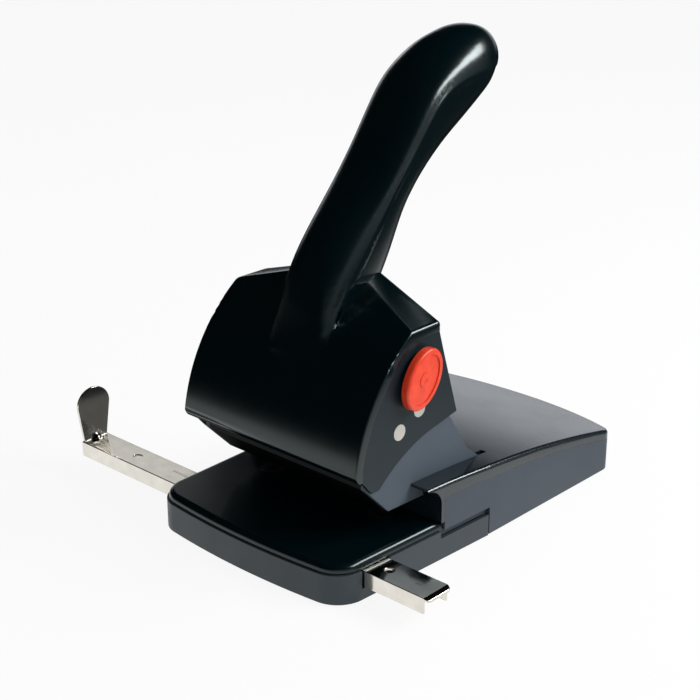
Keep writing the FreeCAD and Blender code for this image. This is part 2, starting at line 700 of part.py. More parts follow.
def tip_direction(front, back):
    """Along the handle at its tip, at right angles to the last section."""
    depth = (back - front).normalize()
    return V(0, -depth.z, depth.y)


def dome(share):
    """Relative size of the tip's section at a share of the dome's height."""
    return (1 - share ** TIP_SQUARENESS) ** (1 / TIP_SQUARENESS)


def handle(slimmer):
    """The handle with its rounded tip; slimmer narrows it on each side."""
    fronts, backs, forms = handle_lines()
    last = len(HANDLE_STATIONS) - 1
    sections = []
    for step in range(last * HANDLE_STEPS + 1):
        at = step / HANDLE_STEPS
        form = forms.value(at)
        sections.append(handle_section(fronts.value(at), backs.value(at), form.x - slimmer, form.y))
    front, back, form = fronts.value(last), backs.value(last), forms.value(last)
    middle = front + (back - front) * form.y
    along = tip_direction(front, back) * (TIP_REACH - slimmer)
    for step in range(1, TIP_STEPS + 1):
        reach = math.sin(math.radians(TIP_LAST_ANGLE * step / TIP_STEPS))
        size = dome(TIP_START + (1 - TIP_START) * reach) / dome(TIP_START)
        centre = middle + along * reach
        sections.append(handle_section(centre + (front - middle) * size, centre + (back - middle) * size,
                                       (form.x - slimmer) * size, form.y))
    return Part.makeLoft(sections, True, False)


def before_parting(shift):
    """Everything in front of the handle's parting line, moved back by shift."""
    fronts, backs, forms = handle_lines()
    last = len(HANDLE_STATIONS) - 1
    line = []
    for at in range(last + 1):
        front, back = fronts.value(at), backs.value(at)
        offset = (back - front).normalize() * shift
        line.append(front + (back - front) * forms.value(at).y + offset)
    front, back = fronts.value(last), backs.value(last)
    line.append(line[-1] + tip_direction(front, back) * TIP_REACH * 2)
    curve = Part.BSplineCurve()
    curve.interpolate(line)
    start, end = line[0], line[-1]
    corners = [end, on_side(end.y, FAR), on_side(-FAR, FAR), on_side(-FAR, start.z), start]
    edges = [curve.toShape()] + [Part.makeLine(a, b) for a, b in zip(corners, corners[1:])]
    return across(Part.Face(Part.Wire(edges)), -FAR, FAR)


def handle_back():
    """Rear half of the handle, a second moulding that stands on the roof."""
    return handle(PARTING_STEP).cut(before_parting(FIXED_FIT)).cut(head_block(HEAD_HALF, -FIXED_FIT, False))


def shell_screw_places():
    return [(side * SHELL_SCREW_X, TIE[0]) for side in (-1, 1)]


def lever_shell():
    """One moulding: arched face, peaked roof and the handle's front half, with screw bosses."""
    room = head_block(HEAD_HALF - RIM_T, SHELL_T, True)
    shell = head_skin().cut(room)
    window = across(head_side(True).makeOffset2D(-SHELL_T - RIM_W), -FAR, FAR)
    window = window.common(slab(-FAR, FAR, 0, ROOF_EAVE_Z - SHELL_T - RIM_W))
    shell = shell.cut(window)
    shell = shell.cut(slab(SHELL_REAR_OPEN_Y, FAR, 0, SHELL_REAR_LIP_Z))
    for side in (-1, 1):
        x0, x1 = sorted((side * (LEVER_PLATE_IN - PLATE_FIT), side * (LEVER_PLATE_OUT + PLATE_FIT)))
        shell = shell.cut(box(x0, x1, PLATE_TOP_BACK_Y, FAR, 0, ROOF_EAVE_Z - SHELL_T))
    shell = shell.fuse(handle(0).common(before_parting(0)).cut(room))
    for x, y in shell_screw_places():
        shell = shell.fuse(rod_z(BOSS_D, x, y, TIE[1], FAR).common(room))
        shell = shell.cut(rod_z(SCREW_D, x, y, 0, TIE[1] + SHELL_SCREW_REACH + SEAT_GAP))
    return shell.cut(rod_x(TIE_D + 2 * FIXED_FIT, TIE, -FAR, FAR))


def lever_plate():
    """Right-hand steel plate of the lever, under the shell's rim."""
    top_z = ROOF_EAVE_Z - SHELL_T - 2 * PLATE_FIT
    face = outline(on_side, PLATE_CHIN, [
        PLATE_TIP,
        (PLATE_ARC_MID, PLATE_ARC_END),
        PLATE_REAR_LOW,
        (PLATE_REAR_MID, PLATE_REAR_TOP),
        (PLATE_REAR_TOP[0], top_z),
        (-FAR, top_z),
        (-FAR, PLATE_CHIN[1]),
        PLATE_CHIN,
    ])
    inside_shell = across(head_side(True).makeOffset2D(-SHELL_T - PLATE_FIT), LEVER_PLATE_IN, LEVER_PLATE_OUT)
    plate = across(face, LEVER_PLATE_IN, LEVER_PLATE_OUT).common(inside_shell)
    for centre in (PIVOT, DRIVE):
        plate = plate.cut(hole_x(PIN_D + 2 * FIXED_FIT, centre))
    return plate


def lever_plate_right():
    """The right-hand plate also carries the lock button."""
    plate = lever_plate()
    plate = plate.cut(hole_x(LOCK_STEM_D + 2 * RUN_FIT, BUTTON))
    pocket = LOCK_HEAD_D + 2 * SEAT_GAP
    return plate.cut(rod_x(pocket, BUTTON, 0, LEVER_PLATE_IN + LOCK_POCKET_T))


def cross_pin(centre):
    return rod_x(PIN_D, centre, -LEVER_PLATE_OUT, LEVER_PLATE_OUT)


def shell_screw_seat():
    """Flat milled into the underside of the tie rod."""
    return TIE[1] - TIE_D / 2 + TIE_FLAT


def tie_rod():
    rod = rod_x(TIE_D, TIE, -LEVER_PLATE_IN, LEVER_PLATE_IN)
    for x, y in shell_screw_places():
        rod = rod.cut(hole_z(SCREW_D, x, y))
        rod = rod.cut(rod_z(SCREW_HEAD_D + 2 * SLOT_CLEAR, x, y, 0, shell_screw_seat()))
    return rod


def shell_screws():
    tip = TIE[1] + SHELL_SCREW_REACH
    return Part.Compound([screw(x, y, shell_screw_seat(), tip) for x, y in shell_screw_places()])


# ---- punch bar -------------------------------------------------------------------------------
def punch_bar():
    """Cross bar with an ear at each end; the drive pin runs in the ears' short slots."""
    bar = box(-BAR_HALF, BAR_HALF, BAR_FRONT_Y, BAR_REAR_Y, BAR_BOTTOM, BAR_TOP)
    slot_w = PIN_D + 2 * SLOT_CLEAR
    slot_rear = PIVOT[0] + CRANK_R
    ear_front = DRIVE[0] - slot_w / 2 - EAR_WALL
    ear_rear = slot_rear + slot_w / 2 + EAR_WALL
    ear_top = DRIVE[1] + slot_w / 2 + EAR_WALL
    ears = []
    for side in (-1, 1):
        x0, x1 = sorted((side * BAR_HALF, side * (BAR_HALF - EAR_W)))
        ears.append(box(x0, x1, ear_front, ear_rear, BAR_BOTTOM, ear_top))
    slot = joined([
        rod_x(slot_w, DRIVE, -FAR, FAR),
        rod_x(slot_w, (slot_rear, DRIVE[1]), -FAR, FAR),
        slab(DRIVE[0], slot_rear, DRIVE[1] - slot_w / 2, DRIVE[1] + slot_w / 2),
    ])
    solid = joined([bar] + ears).cut(slot)
    for side in (-1, 1):
        x = side * HOLE_PITCH / 2
        solid = solid.cut(hole_z(PUNCH_D + 2 * FIXED_FIT, x, PUNCH_Y))
        solid = solid.cut(rod_z(PUNCH_HEAD_D + 2 * FIXED_FIT, x, PUNCH_Y, BAR_TOP - PUNCH_HEAD_T, FAR))
    return solid


def punch(side):
    """Steel punch: headed, hollow-ground at the tip."""
    x = side * HOLE_PITCH / 2
    tip = GUIDE_BOTTOM + PUNCH_RECESS
    shank = rod_z(PUNCH_D, x, PUNCH_Y, tip, BAR_TOP)
    head = rod_z(PUNCH_HEAD_D, x, PUNCH_Y, BAR_TOP - PUNCH_HEAD_T, BAR_TOP)
    wheel = rod_x(2 * PUNCH_D, (PUNCH_Y, tip - PUNCH_D + PUNCH_HOLLOW), x - PUNCH_D, x + PUNCH_D)
    return joined([shank, head]).cut(wheel)


def coil(diameter, wire, pitch, height, place):
    """Round-wire coil spring that stands on its place along +Z."""
    helix = Part.makeHelix(pitch, height, diameter / 2)
    section = Part.Wire(Part.makeCircle(wire / 2, V(diameter / 2, 0, 0), V(0, 1, 0)))
    spring = Part.Wire(helix).makePipeShell([section], True, True)
    spring.Placement = place.multiply(spring.Placement)
    return spring


def punch_spring(side):
    """Return spring between the guide block and the punch bar."""
    free = BAR_BOTTOM - SPRING_FOOT - SPRING_WIRE - 2 * SEAT_GAP
    foot_z = SPRING_FOOT + SPRING_WIRE / 2 + SEAT_GAP
    place = FreeCAD.Placement(V(side * HOLE_PITCH / 2, PUNCH_Y, foot_z), FreeCAD.Rotation())
    return coil(SPRING_D, SPRING_WIRE, free / SPRING_TURNS, free, place)


# ---- lock button -----------------------------------------------------------------------------
def oval(inset, x0, x1):
    """The button's oval, made smaller all round by inset, from x0 to x1."""
    lean = math.radians(BUTTON_LEAN)
    centre = on_side(*BUTTON)
    tip = centre + V(0, math.sin(lean), math.cos(lean)) * (BUTTON_LONG / 2 - inset)
    side = centre + V(0, math.cos(lean), -math.sin(lean)) * (BUTTON_SHORT / 2 - inset)
    edge = Part.Ellipse(tip, side, centre).toShape()
    return across(Part.Face(Part.Wire([edge])), x0, x1)


def lock_button():
    """Oval button that stands off the plate by its travel: a rim, a sunk face and a hub."""
    face = BUTTON_FRONT - BUTTON_DISH_DEPTH
    cap = oval(0, BUTTON_BACK, BUTTON_FRONT)
    cap = cap.makeFillet(BUTTON_EDGE_R, edges_where(cap, lambda b: b.XMin > BUTTON_FRONT - BUTTON_DISH_DEPTH))
    cap = cap.cut(oval(BUTTON_DISH_INSET, face, FAR))
    cap = cap.cut(rod_x(BUTTON_CUP_D, BUTTON, 0, BUTTON_BACK + BUTTON_CUP_DEPTH))
    stem_hub = rod_x(LOCK_STEM_D + 2 * BUTTON_STEM_WALL, BUTTON, BUTTON_BACK, BUTTON_BACK + BUTTON_CUP_DEPTH)
    face_hub = rod_x(BUTTON_HUB_D, BUTTON, face, face + BUTTON_HUB_T)
    cap = joined([cap, stem_hub, face_hub])
    cap = cap.cut(rod_x(LOCK_STEM_D + 2 * FIXED_FIT, BUTTON, 0, BUTTON_FRONT - BUTTON_FACE_SKIN))
    ball_r = (BUTTON_DIMPLE_D ** 2 / 4 + BUTTON_DIMPLE_DEPTH ** 2) / (2 * BUTTON_DIMPLE_DEPTH)
    ball_x = face + BUTTON_HUB_T + ball_r - BUTTON_DIMPLE_DEPTH
    return cap.cut(Part.makeSphere(ball_r, V(ball_x, BUTTON[0], BUTTON[1])))


def lock_pin():
    """Stem through the plate, with the head that enters the bracket's hole."""
    head_back = LEVER_PLATE_IN + SEAT_GAP
    head = rod_x(LOCK_HEAD_D, BUTTON, head_back, head_back + LOCK_HEAD_T)
    stem = rod_x(LOCK_STEM_D, BUTTON, head_back, BUTTON_FRONT - BUTTON_FACE_SKIN - STEM_GAP)
    return joined([head, stem])


def button_spring():
    ease = BUTTON_SPRING_WIRE / 2 + BUTTON_SPRING_GAP
    start = LEVER_PLATE_OUT + ease
    length = BUTTON_BACK + BUTTON_CUP_DEPTH - ease - start
    turn = FreeCAD.Rotation(V(0, 1, 0), 90)
    place = FreeCAD.Placement(V(start, BUTTON[0], BUTTON[1]), turn)
    return coil(BUTTON_SPRING_D, BUTTON_SPRING_WIRE, length / BUTTON_SPRING_TURNS, length, place)


# ---- paper rail ------------------------------------------------------------------------------
def stop_leaf():
    """Upright leaf at the rail's left end, wider above its waist, with a round top."""
    foot_z = RAIL_TOP - RAIL_T
    shoulder, shoulder_z = LEAF_SHOULDER
    crown, crown_z = LEAF_CROWN
    mid = RAIL_MID_Y
    leaf = outline(on_side, (mid - LEAF_WAIST_HALF, foot_z), [
        (mid - LEAF_HALF, LEAF_WIDE_Z),
        ((mid - shoulder, shoulder_z), (mid - crown, crown_z)),
        ((mid, LEAF_TOP_Z), (mid + crown, crown_z)),
        ((mid + shoulder, shoulder_z), (mid + LEAF_HALF, LEAF_WIDE_Z)),
        (mid + LEAF_WAIST_HALF, foot_z),
        (mid - LEAF_WAIST_HALF, foot_z)])
    rib = Part.makeSphere(RIB_R, V(RAIL_LEFT_X + RAIL_T, mid, RAIL_TOP - RIB_SINK))
    rib = rib.common(box(RAIL_LEFT_X, 0, RAIL_FRONT_Y, RAIL_REAR_Y, foot_z, FAR))
    return [across(leaf, RAIL_LEFT_X, RAIL_LEFT_X + RAIL_T), rib]


def rail_tip():
    """The rail's right end, bent down a little, with round corners."""
    length, drop = RAIL_LIP
    end_x = RAIL_RIGHT_X + length
    side = outline(on_front, (RAIL_RIGHT_X, RAIL_TOP), [
        (end_x, RAIL_TOP - drop),
        (end_x, RAIL_TOP - drop - RAIL_T),
        (RAIL_RIGHT_X, RAIL_TOP - RAIL_T),
        (RAIL_RIGHT_X, RAIL_TOP)])
    tip = side.extrude(V(0, RAIL_W, 0)).translated(V(0, RAIL_FRONT_Y, 0))
    diag = length * math.sqrt(0.5)
    rounded = outline(on_plan, (RAIL_RIGHT_X, RAIL_FRONT_Y), [
        ((RAIL_RIGHT_X + diag, RAIL_FRONT_Y + length - diag), (end_x, RAIL_FRONT_Y + length)),
        (end_x, RAIL_REAR_Y - length),
        ((RAIL_RIGHT_X + diag, RAIL_REAR_Y - length + diag), (RAIL_RIGHT_X, RAIL_REAR_Y)),
        (RAIL_RIGHT_X, RAIL_FRONT_Y)])
    return tip.common(upright(rounded, 0, FAR))


def paper_rail():
    """Nickel-plated channel with an upright stop leaf at the left and a bent tip at the right."""
    web = box(RAIL_LEFT_X, RAIL_RIGHT_X, RAIL_FRONT_Y, RAIL_REAR_Y, RAIL_TOP - RAIL_T, RAIL_TOP)
    sides = [box(RAIL_LEFT_X, RAIL_RIGHT_X, y, y + RAIL_T, RAIL_BOTTOM, RAIL_TOP)
             for y in (RAIL_FRONT_Y, RAIL_REAR_Y - RAIL_T)]
    rail = joined([web, rail_tip()] + stop_leaf() + sides)
    for x in RAIL_HOLES_X:
        rail = rail.cut(hole_z(RAIL_HOLE_D, x, RAIL_MID_Y))
    return rail


def write(name, shape):
    assert shape.isValid(), name
    shape.exportStep("parts/" + name + ".step")
    print(f"{name:22s} solids {len(shape.Solids)} volume {shape.Volume:10.1f}")


def main():
    os.makedirs("parts", exist_ok=True)
    write("base_body", base_body())
    write("table_plate", table_plate())
    write("rear_cover", rear_cover())
    write("bracket_right", bracket())
    write("bracket_left", mirrored(bracket()))
    write("bracket_screws", bracket_screws())
    write("guide_block", guide_block())
    for name, side in (("left", -1), ("right", 1)):
        write("die_" + name, die(side))
        write("punch_" + name, punch(side))
        write("punch_spring_" + name, punch_spring(side))
    for name, (x, y) in zip(("left", "right"), rear_foot_places()):
        write("rear_foot_" + name, foot(x, y, HOUSING_BOTTOM))
    write("chip_tray", chip_tray())
    write("front_pad", front_pad())
    write("lever_shell", lever_shell())
    write("handle_back", handle_back())
    write("lever_plate_right", lever_plate_right())
    write("lever_plate_left", mirrored(lever_plate()))
    write("pivot_pin", cross_pin(PIVOT))
    write("drive_pin", cross_pin(DRIVE))
    write("tie_rod", tie_rod())
    write("shell_screws", shell_screws())
    write("punch_bar", punch_bar())
    write("lock_button", lock_button())
    write("lock_pin", lock_pin())
    write("button_spring", button_spring())
    write("paper_rail", paper_rail())


if __name__ == "__main__":
    main()
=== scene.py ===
# %% [markdown]
# # A heavy-duty two-hole punch with a long lever
#
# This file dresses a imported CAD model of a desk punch: a long rear-leaning lever on an
# arched head, a low base with a punching table, a chip tray and a sliding paper rail.
# The CAD model holds every piece at its real size.  Here each piece gets its finish, and
# the pieces whose looks depend on soft edges and smooth curves get a finer mesh.
# Lengths are in metres; values written as `n * MM` are millimetres.

import json
import math

import bmesh
import bpy
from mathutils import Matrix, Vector
from mathutils.kdtree import KDTree

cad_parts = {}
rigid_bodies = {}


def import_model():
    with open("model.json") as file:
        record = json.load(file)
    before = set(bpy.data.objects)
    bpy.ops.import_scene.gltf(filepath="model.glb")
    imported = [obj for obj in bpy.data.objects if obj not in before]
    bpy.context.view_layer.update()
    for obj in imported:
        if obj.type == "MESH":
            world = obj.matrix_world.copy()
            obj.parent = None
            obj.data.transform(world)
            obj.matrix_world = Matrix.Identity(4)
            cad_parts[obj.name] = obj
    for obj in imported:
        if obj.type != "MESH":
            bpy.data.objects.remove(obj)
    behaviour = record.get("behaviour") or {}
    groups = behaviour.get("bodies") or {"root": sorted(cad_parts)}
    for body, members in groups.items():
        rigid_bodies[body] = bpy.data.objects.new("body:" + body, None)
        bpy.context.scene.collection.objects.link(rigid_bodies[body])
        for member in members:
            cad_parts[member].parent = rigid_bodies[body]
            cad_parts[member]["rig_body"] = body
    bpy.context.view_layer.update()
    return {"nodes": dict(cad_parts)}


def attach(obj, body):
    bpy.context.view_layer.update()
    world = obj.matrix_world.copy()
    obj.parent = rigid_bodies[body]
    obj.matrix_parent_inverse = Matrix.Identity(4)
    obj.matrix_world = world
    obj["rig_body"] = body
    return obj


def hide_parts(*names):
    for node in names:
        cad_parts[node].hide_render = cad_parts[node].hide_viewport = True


MM = 0.001
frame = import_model()
nodes = frame["nodes"]

# %% [markdown]
# ## Camera
# A product shot from the right front, a little above the head.  A wide lens close by would
# swell the near corner of the base, so the lens is long and stands 0.8 m away.

# %% Camera
CAMERA_PLACE = (510.5 * MM, -488.2 * MM, 388.7 * MM)
CAMERA_YAW = math.radians(42.92)
CAMERA_PITCH = math.radians(21.281)
SENSOR = 36.0
LENS = 78.35

camera_data = bpy.data.cameras.new("camera")
camera_data.sensor_width = SENSOR
camera_data.lens = LENS
camera_data.clip_start = 0.01
camera = bpy.data.objects.new("camera", camera_data)
camera.location = CAMERA_PLACE
camera.rotation_euler = (math.pi / 2 - CAMERA_PITCH, 0, CAMERA_YAW)
bpy.context.scene.collection.objects.link(camera)
bpy.context.scene.camera = camera
print("lens, mm:", LENS)

# %% [markdown]
# ## Helpers for shader trees
# Every material below is a small tree of nodes.  Written with Blender's own calls, each
# node takes four or five lines, so `make_node` makes a node, sets its inputs, links those
# that come from another node, and returns it.  `ramp` and `times` are the two sums that
# come up again and again, and `two_tones` lets a noise drift between two colours.


# %% Shader helpers
def make_node(tree, kind, inputs=None, **settings):
    """A new node; an input may be a value or another node's output."""
    node = tree.nodes.new(kind)
    for name, value in settings.items():
        setattr(node, name, value)
    for name, value in (inputs or {}).items():
        socket = node.inputs[name]
        if isinstance(value, bpy.types.NodeSocket):
            tree.links.new(value, socket)
        else:
            socket.default_value = value
    return node


def ramp(tree, value, start, end, at_start=0.0, at_end=1.0):
    """at_start up to start, at_end from end on, and a straight line between."""
    node = make_node(tree, "ShaderNodeMapRange", {
        "Value": value, "From Min": start, "From Max": end, "To Min": at_start, "To Max": at_end})
    return node.outputs["Result"]


def times(tree, a, b):
    return make_node(tree, "ShaderNodeMath", {0: a, 1: b}, operation="MULTIPLY").outputs[0]


def two_tones(tree, value, first, second, start=0.0, end=1.0):
    """One colour up to start, the other from end on, and a mix between."""
    tone = make_node(tree, "ShaderNodeValToRGB", {"Fac": value})
    for element, position, colour in zip(tone.color_ramp.elements, (start, end), (first, second)):
        element.position = position
        element.color = (*colour, 1)
    return tone.outputs["Color"]


def new_material(name):
    """A new material, its tree and its Principled node."""
    material = bpy.data.materials.new(name)
    material.use_nodes = True
    return material, material.node_tree, material.node_tree.nodes["Principled BSDF"]


# %% Shader groups
def new_group(name, inputs, outputs):
    """A shader node group; inputs and outputs are (name, kind, default)."""
    group = bpy.data.node_groups.new(name, "ShaderNodeTree")
    for socket_name, kind, default in inputs:
        socket = group.interface.new_socket(socket_name, in_out="INPUT", socket_type=kind)
        socket.default_value = default
    for socket_name, kind in outputs:
        group.interface.new_socket(socket_name, in_out="OUTPUT", socket_type=kind)
    enter = group.nodes.new("NodeGroupInput")
    leave = group.nodes.new("NodeGroupOutput")
    return group, enter, leave


FLOAT = "NodeSocketFloat"
COLOUR = "NodeSocketColor"

# %% [markdown]
# ## Shared effects
# Moulded plastic is never perfectly smooth: the tool leaves a fine grain, and a few weeks
# on a desk leave fingerprints and dust that change the gloss more than the colour.
# Two node groups give these, so each material only sets their strength.


# %% Grain group: a height for the bump and a small change of roughness
def build_grain():
    group, enter, leave = new_group(
        "moulded_grain",
        [("Size", FLOAT, 2500.0), ("Depth", FLOAT, 1.0), ("Roughness", FLOAT, 0.4), ("Spread", FLOAT, 0.05)],
        [("Height", FLOAT), ("Roughness", FLOAT)],
    )
    place = make_node(group, "ShaderNodeTexCoord")
    fine = make_node(group, "ShaderNodeTexNoise", {
        "Vector": place.outputs["Object"], "Scale": enter.outputs["Size"], "Detail": 3.0, "Roughness": 0.6})
    height = times(group, fine.outputs["Fac"], enter.outputs["Depth"])
    offset = make_node(group, "ShaderNodeMath", {0: fine.outputs["Fac"], 1: 0.5}, operation="SUBTRACT")
    change = times(group, offset.outputs[0], enter.outputs["Spread"])
    total = make_node(group, "ShaderNodeMath", {0: change, 1: enter.outputs["Roughness"]},
                      operation="ADD", use_clamp=True)
    group.links.new(height, leave.inputs["Height"])
    group.links.new(total.outputs[0], leave.inputs["Roughness"])
    return group


# %% [markdown]
# Fingerprints are broad and soft, dust is fine and lies on what faces up.  Both are noise
# cut off at a level: only the part of the noise above that level shows.

# %% Handling group: soft smears and dust, as a roughness change and a paler colour
SMEAR_RANGE = (0.42, 0.75)     # noise at which a smear starts and is full
SPECK_RANGE = (0.66, 0.78)     # the same for a speck of dust
UPWARD_RANGE = (0.2, 1.0)      # upward part of the normal on which dust starts and is full
WALL_DUST = 0.15               # the share of it that stays on a wall


def build_handling():
    group, enter, leave = new_group(
        "handling",
        [("Color", COLOUR, (0.02, 0.02, 0.02, 1)), ("Dust Color", COLOUR, (0.35, 0.36, 0.38, 1)),
         ("Roughness", FLOAT, 0.2), ("Smear", FLOAT, 0.1), ("Dust", FLOAT, 0.02)],
        [("Color", COLOUR), ("Roughness", FLOAT)],
    )
    place = make_node(group, "ShaderNodeTexCoord")
    broad = make_node(group, "ShaderNodeTexNoise", {
        "Vector": place.outputs["Object"], "Scale": 38.0, "Detail": 4.0, "Roughness": 0.55})
    smear = ramp(group, broad.outputs["Fac"], *SMEAR_RANGE)
    extra = times(group, smear, enter.outputs["Smear"])
    rough = make_node(group, "ShaderNodeMath", {0: extra, 1: enter.outputs["Roughness"]},
                      operation="ADD", use_clamp=True)
    specks = make_node(group, "ShaderNodeTexNoise", {
        "Vector": place.outputs["Object"], "Scale": 1400.0, "Detail": 2.0, "Roughness": 0.7})
    spots = ramp(group, specks.outputs["Fac"], *SPECK_RANGE)
    upward = make_node(group, "ShaderNodeNewGeometry")
    split = make_node(group, "ShaderNodeSeparateXYZ", {0: upward.outputs["Normal"]})
    facing = ramp(group, split.outputs["Z"], *UPWARD_RANGE, WALL_DUST, 1.0)
    settled = times(group, spots, facing)
    amount = make_node(group, "ShaderNodeMath", {0: settled, 1: enter.outputs["Dust"]},
                       operation="MULTIPLY", use_clamp=True)
    mixed = make_node(group, "ShaderNodeMix", data_type="RGBA")
    group.links.new(amount.outputs[0], mixed.inputs["Factor"])
    group.links.new(enter.outputs["Color"], mixed.inputs["A"])
    group.links.new(enter.outputs["Dust Color"], mixed.inputs["B"])
    group.links.new(mixed.outputs["Result"], leave.inputs["Color"])
    group.links.new(rough.outputs[0], leave.inputs["Roughness"])
    return group


GRAIN = build_grain()
HANDLING = build_handling()
print("shader groups:", [group.name for group in bpy.data.node_groups])

# %% [markdown]
# ## Finishes
# The punch is nearly all black, but not one black: the lever is glossy moulding, the table
# satin paint, housing and tray are grained moulding, the side plates thin enamel on steel.
# They could be nine trees drawn by hand.  One function makes them all from a few values
# instead, because they differ only in gloss, grain and wear.

# %% Moulded and painted finishes
COOL_SHINE = (0.88, 1.0, 1.0, 1)     # the lacquer's reflections are a touch blue-green


def black_finish(name, colour, roughness, grain_size, grain_depth,
                 smear=0.08, dust=0.02, coat=0.0, shine=0.5):
    material, tree, surface = new_material(name)
    worn = make_node(tree, "ShaderNodeGroup", node_tree=HANDLING)
    worn.inputs["Color"].default_value = (*colour, 1)
    worn.inputs["Roughness"].default_value = roughness
    worn.inputs["Smear"].default_value = smear
    worn.inputs["Dust"].default_value = dust
    grain = make_node(tree, "ShaderNodeGroup", node_tree=GRAIN)
    grain.inputs["Size"].default_value = grain_size
    tree.links.new(worn.outputs["Roughness"], grain.inputs["Roughness"])
    bump = make_node(tree, "ShaderNodeBump", {"Height": grain.outputs["Height"], "Strength": grain_depth,
                                              "Distance": 0.05 * MM})
    tree.links.new(worn.outputs["Color"], surface.inputs["Base Color"])
    tree.links.new(grain.outputs["Roughness"], surface.inputs["Roughness"])
    tree.links.new(bump.outputs["Normal"], surface.inputs["Normal"])
    surface.inputs["Specular IOR Level"].default_value = shine
    surface.inputs["Specular Tint"].default_value = COOL_SHINE
    surface.inputs["Coat Weight"].default_value = coat
    surface.inputs["Coat Roughness"].default_value = 0.05
    return material


LEVER_BLACK = black_finish("lever_gloss_black", (0.0002, 0.0042, 0.0058), 0.20, 900.0, 0.015,
                           smear=0.03, dust=0.01, shine=0.65)
TABLE_BLACK = black_finish("table_satin_black", (0.0002, 0.0042, 0.0058), 0.20, 1500.0, 0.05,
                           smear=0.04, dust=0.01)
COVER_BLACK = black_finish("deck_semi_gloss", (0.006, 0.011, 0.015), 0.24, 2200.0, 0.10,
                           smear=0.05, dust=0.01, coat=0.6)
HOUSING_GREY = black_finish("housing_grained", (0.047, 0.057, 0.074), 0.42, 2600.0, 0.35,
                            dust=0.03, shine=0.35)
TRAY_GREY = black_finish("tray_grained", (0.026, 0.034, 0.043), 0.40, 2600.0, 0.35, dust=0.03)
PLATE_GREY = black_finish("plate_enamel", (0.009, 0.016, 0.021), 0.36, 1800.0, 0.15, shine=0.30)
BRACKET_GREY = black_finish("bracket_enamel", (0.075, 0.093, 0.116), 0.42, 1800.0, 0.15, shine=0.12)
GUIDE_BLACK = black_finish("guide_matt_black", (0.001, 0.002, 0.003), 0.55, 1800.0, 0.12,
                           smear=0.02, dust=0.0, shine=0.15)
RUBBER = black_finish("rubber_feet", (0.012, 0.012, 0.012), 0.75, 3000.0, 0.5, dust=0.2)
print("black finishes:", len(bpy.data.materials))

# %% [markdown]
# ## Bright metals
# Nickel on the paper rail, turned steel on the two pins, ground steel on the punches and
# zinc on the hidden steel.  Plain metallic grey looks like foil; what makes it metal are
# the fine lines that drawing, turning or grinding leaves.  They could be a picture, but a
# noise stretched along one direction needs no unwrapping and stays sharp close up.

# %% Metal finishes
WORN_TONE = 0.88               # the duller places, as a share of the metal's colour
NOISE_RANGE = (0.3, 0.7)       # where nearly all values of a noise lie
GLOSS_CHANGE = (0.8, 1.25)     # roughness in the lines and between them, as shares of its value


def metal_finish(name, colour, roughness, line_scale, line_depth):
    """line_scale stretches the noise: small along the lines, large across them."""
    material, tree, surface = new_material(name)
    place = make_node(tree, "ShaderNodeTexCoord")
    stretch = make_node(tree, "ShaderNodeMapping", {"Vector": place.outputs["Object"], "Scale": line_scale})
    lines = make_node(tree, "ShaderNodeTexNoise", {
        "Vector": stretch.outputs["Vector"], "Scale": 1.0, "Detail": 3.0, "Roughness": 0.6})
    gloss = ramp(tree, lines.outputs["Fac"], *NOISE_RANGE, *[roughness * share for share in GLOSS_CHANGE])
    broad = make_node(tree, "ShaderNodeTexNoise", {
        "Vector": place.outputs["Object"], "Scale": 120.0, "Detail": 3.0, "Roughness": 0.5})
    worn = [part * WORN_TONE for part in colour]
    tone = two_tones(tree, broad.outputs["Fac"], worn, colour, *NOISE_RANGE)
    bump = make_node(tree, "ShaderNodeBump", {
        "Height": lines.outputs["Fac"], "Strength": line_depth, "Distance": 0.02 * MM})
    tree.links.new(tone, surface.inputs["Base Color"])
    tree.links.new(gloss, surface.inputs["Roughness"])
    tree.links.new(bump.outputs["Normal"], surface.inputs["Normal"])
    surface.inputs["Metallic"].default_value = 1.0
    return material


NICKEL = metal_finish("rail_nickel", (0.79, 0.76, 0.69), 0.10, (60, 2500, 2500), 0.25)
PIN_STEEL = metal_finish("pin_turned_steel", (0.80, 0.78, 0.72), 0.30, (2500, 900, 900), 0.35)
ZINC = metal_finish("bright_zinc", (0.62, 0.62, 0.60), 0.32, (700, 700, 700), 0.3)
TOOL_STEEL = metal_finish("ground_tool_steel", (0.60, 0.60, 0.59), 0.22, (1500, 1500, 200), 0.3)
print("finishes with the metals:", len(bpy.data.materials))

# %% [markdown]
# ## The orange-red button
# The one piece in colour: a glossy pressed cap.  Injection moulding leaves a soft mottling,
# so the colour drifts between two reds instead of being one flat value.

# %% Button finish
DEEP_RED = (0.72, 0.048, 0.018)
BRIGHT_RED = (0.84, 0.066, 0.024)


def button_finish():
    material, tree, surface = new_material("button_orange_red")
    place = make_node(tree, "ShaderNodeTexCoord")
    mottle = make_node(tree, "ShaderNodeTexNoise", {
        "Vector": place.outputs["Object"], "Scale": 260.0, "Detail": 3.0, "Roughness": 0.55})
    tone = two_tones(tree, mottle.outputs["Fac"], DEEP_RED, BRIGHT_RED, *NOISE_RANGE)
    grain = make_node(tree, "ShaderNodeGroup", node_tree=GRAIN)
    grain.inputs["Size"].default_value = 1200.0
    grain.inputs["Roughness"].default_value = 0.24
    bump = make_node(tree, "ShaderNodeBump", {
        "Height": grain.outputs["Height"], "Strength": 0.06, "Distance": 0.05 * MM})
    tree.links.new(tone, surface.inputs["Base Color"])
    tree.links.new(grain.outputs["Roughness"], surface.inputs["Roughness"])
    tree.links.new(bump.outputs["Normal"], surface.inputs["Normal"])
    return material


BUTTON_RED = button_finish()
print("button:", BUTTON_RED.name)

# %% [markdown]
# ## Which finish goes on which piece
# The CAD nodes stay where they are; only their materials change.

